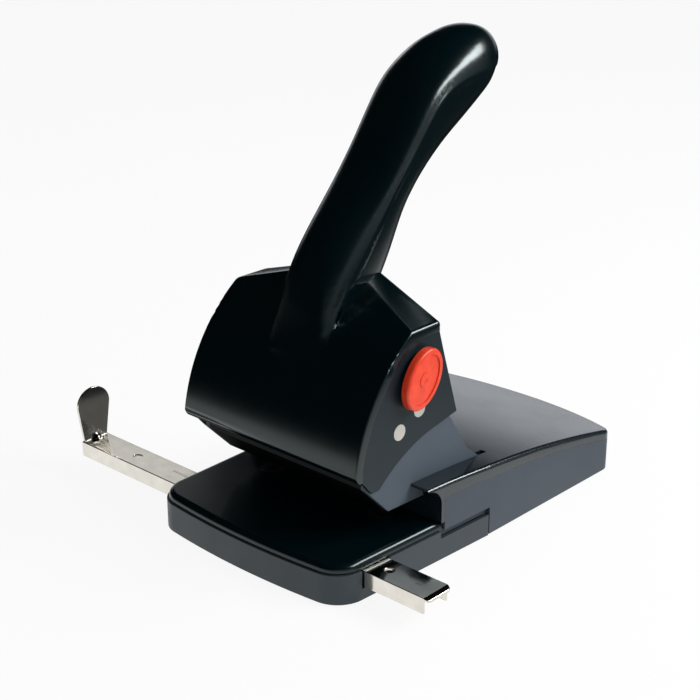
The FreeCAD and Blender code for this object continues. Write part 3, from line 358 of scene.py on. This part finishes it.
# %% Finishes by node
FINISH_OF = {
    "base_body": HOUSING_GREY, "table_plate": TABLE_BLACK, "rear_cover": COVER_BLACK,
    "bracket_left": BRACKET_GREY, "bracket_right": BRACKET_GREY, "bracket_screws": ZINC,
    "guide_block": GUIDE_BLACK, "die_left": TOOL_STEEL, "die_right": TOOL_STEEL,
    "punch_left": TOOL_STEEL, "punch_right": TOOL_STEEL, "punch_bar": ZINC,
    "punch_spring_left": ZINC, "punch_spring_right": ZINC,
    "rear_foot_left": RUBBER, "rear_foot_right": RUBBER, "front_pad": RUBBER,
    "chip_tray": TRAY_GREY, "lever_shell": LEVER_BLACK, "handle_back": LEVER_BLACK,
    "lever_plate_left": PLATE_GREY, "lever_plate_right": PLATE_GREY,
    "pivot_pin": PIN_STEEL, "drive_pin": PIN_STEEL, "tie_rod": ZINC, "shell_screws": ZINC,
    "lock_button": BUTTON_RED, "lock_pin": ZINC, "button_spring": ZINC, "paper_rail": NICKEL,
}
for node_name, node in nodes.items():
    node.data.materials.clear()
    node.data.materials.append(FINISH_OF[node_name])
print("nodes with a finish:", len(nodes))

# %% [markdown]
# ## Soft edges
# A real moulding or pressing has no knife edges: each corner is rounded by half a
# millimetre or so, and that thin round catches the light.  `softened` makes a copy of a
# CAD piece, joins its loose triangles, turns coplanar ones into whole faces and bevels
# what is sharp.  The copy stands in for the node on the same body.  Smooth shading bends
# the light on the flat faces beside a round too, and `level_flats` takes that back.

# %% Applying modifiers
SHARP_FROM = math.radians(32)     # edges above this angle stay sharp in the shading


def bake(piece):
    """Turn the piece and its modifiers into a plain mesh."""
    graph = bpy.context.evaluated_depsgraph_get()
    mesh = bpy.data.meshes.new_from_object(piece.evaluated_get(graph))
    piece.modifiers.clear()
    piece.data = mesh
    return mesh


def finish_mesh(piece):
    """Apply the modifiers and shade smooth, keeping what is still sharp."""
    mesh = bake(piece)
    mesh.shade_smooth()
    mesh.set_sharp_from_angle(angle=SHARP_FROM)
    print(piece.name, "faces:", len(mesh.polygons))


def level_flats(piece):
    """Let large flat faces keep their own normal, so only the rounds bend the light."""
    weighted = piece.modifiers.new("level_flats", "WEIGHTED_NORMAL")
    weighted.keep_sharp = True
    weighted.weight = 80
    bake(piece)


# %% Softened copies
MERGE_DISTANCE = 0.002 * MM
FLAT_UP_TO = math.radians(0.5)      # neighbours closer than this become one face
BEVEL_FROM = math.radians(30)       # edges above this angle get a round
BEVEL_SEGMENTS = 3


def softened(node_name, radius, rework=None, clamp=True):
    """A finished copy of a node; without a radius it keeps its edges."""
    source = nodes[node_name]
    mesh = source.data.copy()
    mesh.name = node_name + "_finished"
    piece = bpy.data.objects.new(mesh.name, mesh)
    bpy.context.scene.collection.objects.link(piece)
    form = bmesh.new()
    form.from_mesh(mesh)
    bmesh.ops.remove_doubles(form, verts=form.verts, dist=MERGE_DISTANCE)
    bmesh.ops.dissolve_limit(form, angle_limit=FLAT_UP_TO, verts=form.verts, edges=form.edges)
    bmesh.ops.recalc_face_normals(form, faces=form.faces)
    if rework:
        rework(form)
    form.to_mesh(mesh)
    form.free()
    if radius:
        bevel = piece.modifiers.new("soft_edges", "BEVEL")
        bevel.width = radius
        bevel.segments = BEVEL_SEGMENTS
        bevel.limit_method = "ANGLE"
        bevel.angle_limit = BEVEL_FROM
        bevel.use_clamp_overlap = clamp
    finish_mesh(piece)
    if radius:
        level_flats(piece)
    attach(piece, source["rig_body"])
    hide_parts(node_name)
    return piece


# %% Edges of the pressed and moulded pieces
EDGE_RADIUS = {
    "table_plate": 0.3 * MM, "rear_cover": 0.35 * MM, "base_body": 0.5 * MM, "chip_tray": 0.5 * MM,
    "guide_block": 0.5 * MM, "bracket_left": 0.3 * MM, "bracket_right": 0.3 * MM,
    "lever_plate_left": 0.3 * MM, "lever_plate_right": 0.3 * MM, "paper_rail": 0.45 * MM,
}
for node_name, radius in EDGE_RADIUS.items():
    # clamping would hold the rail's long bends back for the sake of its shortest edges
    softened(node_name, radius, clamp=node_name != "paper_rail")

# %% [markdown]
# ## The handle's root
# On the real moulding the handle grows out of the arched face: its left edge starts as a
# crisp step that fades out below, and the rest flows into the face.  The CAD shell has a
# sharp seam all round.  A bevel goes jagged where that seam curls and fades, so the copy is
# cut into a fine grid near the seam and relaxed there: each corner moves towards the
# middle of its neighbours, most at the seam and not at all 13 mm away.

# %% Where the root is
FACE_AXIS = (92.3 * MM, 49.5 * MM)     # Y and Z of the arched face's axis
FACE_RADIUS = 95.8 * MM
FACE_SLACK = 0.4 * MM                  # what lies this close to the arc counts as on it
ROOT_HALF = 36 * MM                    # how far the fine grid reaches on each side
ROOT_LOW, ROOT_HIGH = 92 * MM, 140 * MM
SEAM_TOP = 146 * MM                    # the seam meets the brow below this


def height_over_face(place):
    """How far a place stands out from the arc."""
    return math.hypot(place.y - FACE_AXIS[0], place.z - FACE_AXIS[1]) - FACE_RADIUS


def near_root(face):
    heights = [corner.co.z for corner in face.verts]
    outside = all(height_over_face(corner.co) > -FACE_SLACK for corner in face.verts)
    return outside and min(heights) < ROOT_HIGH and max(heights) > ROOT_LOW


def in_root(place):
    beside = abs(place.x) < ROOT_HALF and ROOT_LOW < place.z < ROOT_HIGH
    return beside and height_over_face(place) > -FACE_SLACK


print("root, mm:", 2 * round(ROOT_HALF / MM), "wide, from", round(ROOT_LOW / MM), "to", round(ROOT_HIGH / MM))

# %% [markdown]
# Relaxing can only move corners that exist, and the arched face comes as long strips.
# Subdividing those would give thin splinters.  Cutting along evenly spaced planes, upright
# ones first and then level ones, gives cells of one size.

# %% Fine grid over the root
ROOT_GRID = 1.4 * MM


def cut_grid(form):
    """Cut the outer faces near the root into small cells."""
    for axis, low, high in ((0, -ROOT_HALF, ROOT_HALF), (2, ROOT_LOW, ROOT_HIGH)):
        normal = Vector([float(i == axis) for i in range(3)])
        for step in range(int((high - low) / ROOT_GRID) + 1):
            faces = [face for face in form.faces if near_root(face)]
            edges = {edge for face in faces for edge in face.edges}
            corners = {corner for face in faces for corner in face.verts}
            bmesh.ops.bisect_plane(form, geom=[*corners, *edges, *faces], dist=0.01 * MM,
                                   plane_co=normal * (low + step * ROOT_GRID), plane_no=normal)
    print("faces with the grid:", len(form.faces))


# %% [markdown]
# The seam could be a list of places written down here.  It is found from the shape instead:
# two faces meet in a hollow there, close to the arc.

# %% Finding the seam
HOLLOW_ANGLE = -0.15     # an edge hollower than this, in radians, is part of the seam


def on_seam(edge, middle):
    hollow = len(edge.link_faces) == 2 and edge.calc_face_angle_signed(0) < HOLLOW_ANGLE
    close = abs(height_over_face(middle)) < FACE_SLACK and abs(middle.x) < ROOT_HALF
    return hollow and close and middle.z < SEAM_TOP


def seam_tree(form):
    """Places of the hollow seam between face and handle, for nearest-point lookups."""
    middles = [(edge.verts[0].co + edge.verts[1].co) / 2 for edge in form.edges]
    places = [middle for edge, middle in zip(form.edges, middles) if on_seam(edge, middle)]
    tree = KDTree(len(places))
    for index, place in enumerate(places):
        tree.insert(place, index)
    tree.balance()
    print("seam places:", len(places))
    return tree


# %% [markdown]
# One long move would make the surface wavy, so every corner moves a little, many times
# over.  A corner's share falls smoothly to nothing at the rim of the blend, and it is
# nothing as well where the seam has to stay crisp.

# %% Relaxing the seam
ROOT_REACH = 13 * MM                   # width of the blend on each side of the seam
CRISP_X, SOFT_X = -19 * MM, -3 * MM    # the seam is crisp left of the first, soft right of the second
CRISP_Z, SOFT_Z = 141 * MM, 117 * MM   # and crisp above the first, soft below the second
RELAX_STEPS = 110
RELAX_STRENGTH = 0.6                   # part of the way that a corner with a full share moves


def share_between(value, start, end):
    return min(1.0, max(0.0, (value - start) / (end - start)))


def blend_share(place, tree):
    """How much a corner takes part, from 0 to 1."""
    seam, _, distance = tree.find(place)
    near = max(0.0, 1 - distance / ROOT_REACH)
    soft = share_between(seam.x, CRISP_X, SOFT_X) * share_between(seam.z, CRISP_Z, SOFT_Z)
    return near * near * (3 - 2 * near) * soft


def relax_root(form):
    tree = seam_tree(form)
    shares = [(corner, blend_share(corner.co, tree)) for corner in form.verts if in_root(corner.co)]
    moving = [(corner, share, [edge.other_vert(corner) for edge in corner.link_edges])
              for corner, share in shares if share > 0]
    for _ in range(RELAX_STEPS):
        targets = [sum((other.co for other in others), Vector()) / len(others) for _, _, others in moving]
        for (corner, share, _), target in zip(moving, targets):
            corner.co = corner.co.lerp(target, RELAX_STRENGTH * share)
    print("relaxed corners:", len(moving))


# %% [markdown]
# Long strips shade badly on a curve, because their corners take in the normals of all the
# faces around.  On the plain arc the true normal is known and is simply written in.  On the
# crisp left edge the sharp mark comes off, and its fine cells then look like a small round.

# %% Shading of the relaxed shell
CREASE_LOW = 111 * MM         # above this the left crease is shaded as a small round
CREASE_END_X = -10 * MM
CREASE_SLACK = 0.5 * MM
ARC_SLACK = 0.45 * MM         # corners this close to the arc get the arc's own normal
ARC_MATCH = 0.996             # if their face agrees with it: the cosine of about 5 degrees


def round_crease(mesh):
    """The left crease is a small round, not a knife cut: its fine cells are shaded across."""
    for edge in mesh.edges:
        middle = (mesh.vertices[edge.vertices[0]].co + mesh.vertices[edge.vertices[1]].co) / 2
        beside = -ROOT_HALF < middle.x < CREASE_END_X and CREASE_LOW < middle.z < SEAM_TOP
        if beside and abs(height_over_face(middle)) < CREASE_SLACK:
            edge.use_edge_sharp = False


def true_arc_normals(mesh):
    """Where the face is still the plain arc, its long strips get the arc's own normals."""
    normals = [(0.0, 0.0, 0.0)] * len(mesh.loops)
    for face in mesh.polygons:
        for corner in face.loop_indices:
            place = mesh.vertices[mesh.loops[corner].vertex_index].co
            outward = Vector((0, place.y - FACE_AXIS[0], place.z - FACE_AXIS[1])).normalized()
            if abs(height_over_face(place)) < ARC_SLACK and face.normal.dot(outward) > ARC_MATCH:
                normals[corner] = outward
    mesh.normals_split_custom_set(normals)
    print("corners on the arc:", sum(1 for normal in normals if Vector(normal).length > 0))


# %% Finished lever shell
def rework_shell(form):
    bmesh.ops.triangulate(form, faces=form.faces)
    cut_grid(form)
    relax_root(form)


shell = softened("lever_shell", 0, rework=rework_shell)
round_crease(shell.data)
true_arc_normals(shell.data)

# %% [markdown]
# ## Ticks on the rail
# The rail of such a punch carries a short stamped scale near the table.  The ticks could be
# a picture on the steel, but then they would blur close up.  Geometry Nodes repeat one
# small block along the rail instead, so the row can be changed by its named inputs.

# %% Stamped ticks
STAMP_DARK = (0.03, 0.03, 0.03)
STAMP_BURR = (0.16, 0.15, 0.14)
RAIL_TOP = 17.1 * MM
TICK_SIZE = (0.50 * MM, 1.8 * MM, 0.10 * MM)     # along the rail, across it, and deep
TICK_SHOWS = 0.02 * MM                           # how far the burr stands proud
TICK_ROWS = {                                    # name: count, first place, pitch along the rail
    "rail_ticks_left": (6, (-84.0 * MM, 7.4 * MM), 1.9 * MM),
    "rail_ticks_right": (3, (95.5 * MM, 5.4 * MM), 1.2 * MM),
}


def stamp_finish():
    """Dark marks, with a worn brighter burr here and there."""
    material, tree, surface = new_material("stamped_mark")
    place = make_node(tree, "ShaderNodeTexCoord")
    wear = make_node(tree, "ShaderNodeTexNoise", {"Vector": place.outputs["Object"], "Scale": 1500.0})
    tone = two_tones(tree, wear.outputs["Fac"], STAMP_DARK, STAMP_BURR)
    tree.links.new(tone, surface.inputs["Base Color"])
    surface.inputs["Roughness"].default_value = 0.5
    surface.inputs["Metallic"].default_value = 0.6
    return material


# %% Tree that repeats a tick
def tick_group():
    group = bpy.data.node_groups.new("tick_row", "GeometryNodeTree")
    for name, kind in (("Count", "NodeSocketInt"), ("Start", "NodeSocketVector"),
                       ("Pitch", "NodeSocketVector"), ("Size", "NodeSocketVector"),
                       ("Finish", "NodeSocketMaterial")):
        group.interface.new_socket(name, in_out="INPUT", socket_type=kind)
    group.interface.new_socket("Geometry", in_out="OUTPUT", socket_type="NodeSocketGeometry")
    enter = group.nodes.new("NodeGroupInput")
    leave = group.nodes.new("NodeGroupOutput")
    row = make_node(group, "GeometryNodeMeshLine", {
        "Count": enter.outputs["Count"], "Start Location": enter.outputs["Start"],
        "Offset": enter.outputs["Pitch"]})
    tick = make_node(group, "GeometryNodeMeshCube", {"Size": enter.outputs["Size"]})
    placed = make_node(group, "GeometryNodeInstanceOnPoints", {
        "Points": row.outputs["Mesh"], "Instance": tick.outputs["Mesh"]})
    real = make_node(group, "GeometryNodeRealizeInstances", {"Geometry": placed.outputs["Instances"]})
    finish = make_node(group, "GeometryNodeSetMaterial", {
        "Geometry": real.outputs["Geometry"], "Material": enter.outputs["Finish"]})
    group.links.new(finish.outputs["Geometry"], leave.inputs["Geometry"])
    return group


# %% Two rows of ticks
STAMP_MARK = stamp_finish()
TICK_ROW = tick_group()
TICK_Z = RAIL_TOP + TICK_SHOWS - TICK_SIZE[2] / 2     # middle of a tick
for row_name, (count, (first_x, row_y), pitch) in TICK_ROWS.items():
    ticks = bpy.data.objects.new(row_name, bpy.data.meshes.new(row_name))
    bpy.context.scene.collection.objects.link(ticks)
    repeat = ticks.modifiers.new("ticks", "NODES")
    repeat.node_group = TICK_ROW
    values = {"Count": count, "Start": (first_x, row_y, TICK_Z), "Pitch": (pitch, 0, 0),
              "Size": TICK_SIZE, "Finish": STAMP_MARK}
    for socket in TICK_ROW.interface.items_tree:
        if socket.in_out == "INPUT":
            repeat[socket.identifier] = values[socket.name]
    finish_mesh(ticks)
    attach(ticks, nodes["paper_rail"]["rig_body"])

# %% [markdown]
# ## Floor
# A glossy black object shows little but its surroundings, so the floor does two jobs.  To
# the camera it is nearly white, with a soft trace of the punch's shadow.  To reflections it
# is a bright sheet round the front left of the punch that fades out beyond half a metre, so
# the lower part of the arched face gets a gradient.  A real sheet would be seen by the
# camera as well; Light Path tells the two kinds of ray apart.

# %% Floor
FLOOR_HALF = 8.0
FLOOR_GLOW = 0.9                      # share of plain white the camera sees; the rest keeps the shadow
FLOOR_TONE = (0.90, 0.90, 0.90, 1)
SHEET_MIDDLE = (-0.20, -0.25, 0.0)    # the brightly lit part of the floor
SHEET_BRIGHT = 0.50                   # it is full up to this distance
SHEET_DARK = 0.80                     # and down to what is left from here on
SHEET_REST = 0.03
SHADE_X = (-0.02, -0.07)              # the punch's own shade starts and is full here
SHADE_Y = (-0.01, 0.03)
SHADE_REST = 0.1                      # what is left of the sheet in that shade


def floor_finish():
    """White to the camera; to reflections a bright sheet round the punch."""
    material, tree, surface = new_material("white_floor")
    output = tree.nodes["Material Output"]
    surface.inputs["Base Color"].default_value = FLOOR_TONE
    surface.inputs["Roughness"].default_value = 0.9
    path = make_node(tree, "ShaderNodeLightPath")
    place = make_node(tree, "ShaderNodeTexCoord")
    split = make_node(tree, "ShaderNodeSeparateXYZ", {0: place.outputs["Object"]})
    away = make_node(tree, "ShaderNodeVectorMath", {0: place.outputs["Object"], 1: SHEET_MIDDLE},
                     operation="DISTANCE")
    sheet = ramp(tree, away.outputs["Value"], SHEET_BRIGHT, SHEET_DARK, 1.0, SHEET_REST)
    shade = times(tree, ramp(tree, split.outputs["X"], *SHADE_X), ramp(tree, split.outputs["Y"], *SHADE_Y))
    lit = times(tree, sheet, ramp(tree, shade, 0.0, 1.0, 1.0, SHADE_REST))
    card = make_node(tree, "ShaderNodeEmission", {"Color": (1, 1, 1, 1), "Strength": lit})
    glow = make_node(tree, "ShaderNodeEmission", {"Color": (1, 1, 1, 1), "Strength": 1.0})
    seen = times(tree, path.outputs["Is Camera Ray"], FLOOR_GLOW)
    pale = make_node(tree, "ShaderNodeMixShader", {0: seen, 1: surface.outputs[0], 2: glow.outputs[0]})
    mixed = make_node(tree, "ShaderNodeMixShader", {
        0: path.outputs["Is Glossy Ray"], 1: pale.outputs[0], 2: card.outputs[0]})
    tree.links.new(mixed.outputs[0], output.inputs["Surface"])
    return material


floor_mesh = bpy.data.meshes.new("floor")
floor_mesh.from_pydata(
    [(-FLOOR_HALF, -FLOOR_HALF, 0), (FLOOR_HALF, -FLOOR_HALF, 0), (FLOOR_HALF, FLOOR_HALF, 0),
     (-FLOOR_HALF, FLOOR_HALF, 0)], [], [(0, 1, 2, 3)])
floor = bpy.data.objects.new("floor", floor_mesh)
floor.data.materials.append(floor_finish())
bpy.context.scene.collection.objects.link(floor)
print("floor, m:", 2 * FLOOR_HALF)

# %% [markdown]
# ## World
# The camera sees white.  Reflections see a dark room with one bright, faintly blue band
# low down at the back left, which makes the deck shine, and a dim wall low on the right.
# The world's own light on the punch is a plain even grey.  A picture of a studio could do
# this too, but then none of these parts could be moved on its own.

# %% World: white to the camera, a dark room with two soft parts to reflections
BACK_LEFT = (-0.68, 0.73)      # direction of the band, seen from above
BAND_FULL = 0.17               # sine of the elevation up to which the band is white
BAND_END = 0.32                # and above which it is dark
BAND_SIDE = (0.78, 0.92)       # it fades out away from the back left
RIGHT_LEVEL = 0.35             # a dim wall low on the right
RIGHT_SIDE = (0.3, 0.7)
RIGHT_HEIGHT = (0.2, 0.35)
BACKDROP_TINT = (0.90, 0.94, 1.0, 1)
DIFFUSE_LEVEL = 0.45


def build_world():
    world = bpy.data.worlds.new("studio")
    world.use_nodes = True
    tree = world.node_tree
    tree.nodes.clear()
    output = make_node(tree, "ShaderNodeOutputWorld")
    place = make_node(tree, "ShaderNodeTexCoord")
    split = make_node(tree, "ShaderNodeSeparateXYZ", {0: place.outputs["Generated"]})
    band = ramp(tree, split.outputs["Z"], BAND_FULL, BAND_END, 1.0, 0.0)
    behind = make_node(tree, "ShaderNodeVectorMath", {0: place.outputs["Generated"], 1: (*BACK_LEFT, 0.0)},
                       operation="DOT_PRODUCT")
    back_level = times(tree, band, ramp(tree, behind.outputs["Value"], *BAND_SIDE))
    right_level = times(tree, ramp(tree, split.outputs["X"], *RIGHT_SIDE, 0.0, RIGHT_LEVEL),
                        ramp(tree, split.outputs["Z"], *RIGHT_HEIGHT, 1.0, 0.0))
    glossy_level = make_node(tree, "ShaderNodeMath", {0: back_level, 1: right_level}, operation="MAXIMUM")
    path = make_node(tree, "ShaderNodeLightPath")
    glossy = make_node(tree, "ShaderNodeMix", data_type="FLOAT")
    glossy.inputs["A"].default_value = DIFFUSE_LEVEL
    tree.links.new(path.outputs["Is Glossy Ray"], glossy.inputs["Factor"])
    tree.links.new(glossy_level.outputs[0], glossy.inputs["B"])
    final = make_node(tree, "ShaderNodeMix", data_type="FLOAT")
    final.inputs["B"].default_value = 1.0
    tree.links.new(path.outputs["Is Camera Ray"], final.inputs["Factor"])
    tree.links.new(glossy.outputs["Result"], final.inputs["A"])
    tint = make_node(tree, "ShaderNodeMix", data_type="RGBA")
    tint.inputs["A"].default_value = (1, 1, 1, 1)
    tint.inputs["B"].default_value = BACKDROP_TINT
    tree.links.new(path.outputs["Is Glossy Ray"], tint.inputs["Factor"])
    back = make_node(tree, "ShaderNodeBackground", {"Color": tint.outputs["Result"]})
    tree.links.new(final.outputs["Result"], back.inputs["Strength"])
    tree.links.new(back.outputs[0], output.inputs["Surface"])
    return world


bpy.context.scene.world = build_world()
print("world:", bpy.context.scene.world.name)

# %% [markdown]
# ## Lamps
# One long soft panel, high at the back right, draws the highlight on the handle's shoulder
# and lights the walls on that side.  A small card at the back left is there for the left
# end of the paper rail: the rail's top mirrors that spot towards the camera, and without
# the card the nickel would look black there.

# %% Soft panels
AIM = Vector((0, 0.08, 0.11))     # the middle of the head


def soft_panel(name, direction, distance, size, power):
    data = bpy.data.lights.new(name, "AREA")
    data.shape = "RECTANGLE"
    data.size, data.size_y = size
    data.energy = power
    panel = bpy.data.objects.new(name, data)
    panel.location = AIM + Vector(direction).normalized() * distance
    panel.rotation_euler = (AIM - panel.location).to_track_quat("-Z", "Y").to_euler()
    bpy.context.scene.collection.objects.link(panel)
    print(name, "W:", power)


soft_panel("right_panel", (0.67, 0.47, 0.57), 1.1, (1.00, 0.26), 12.0)
soft_panel("left_card", (-0.815, 0.495, 0.34), 1.01, (0.13, 0.13), 0.038)

# %% [markdown]
# ## Colour handling
# Standard shows a colour about as it is written, where a film look would grey the blacks.

# %% Colour handling
bpy.context.scene.view_settings.view_transform = "Standard"
print("colours:", bpy.context.scene.view_settings.view_transform)
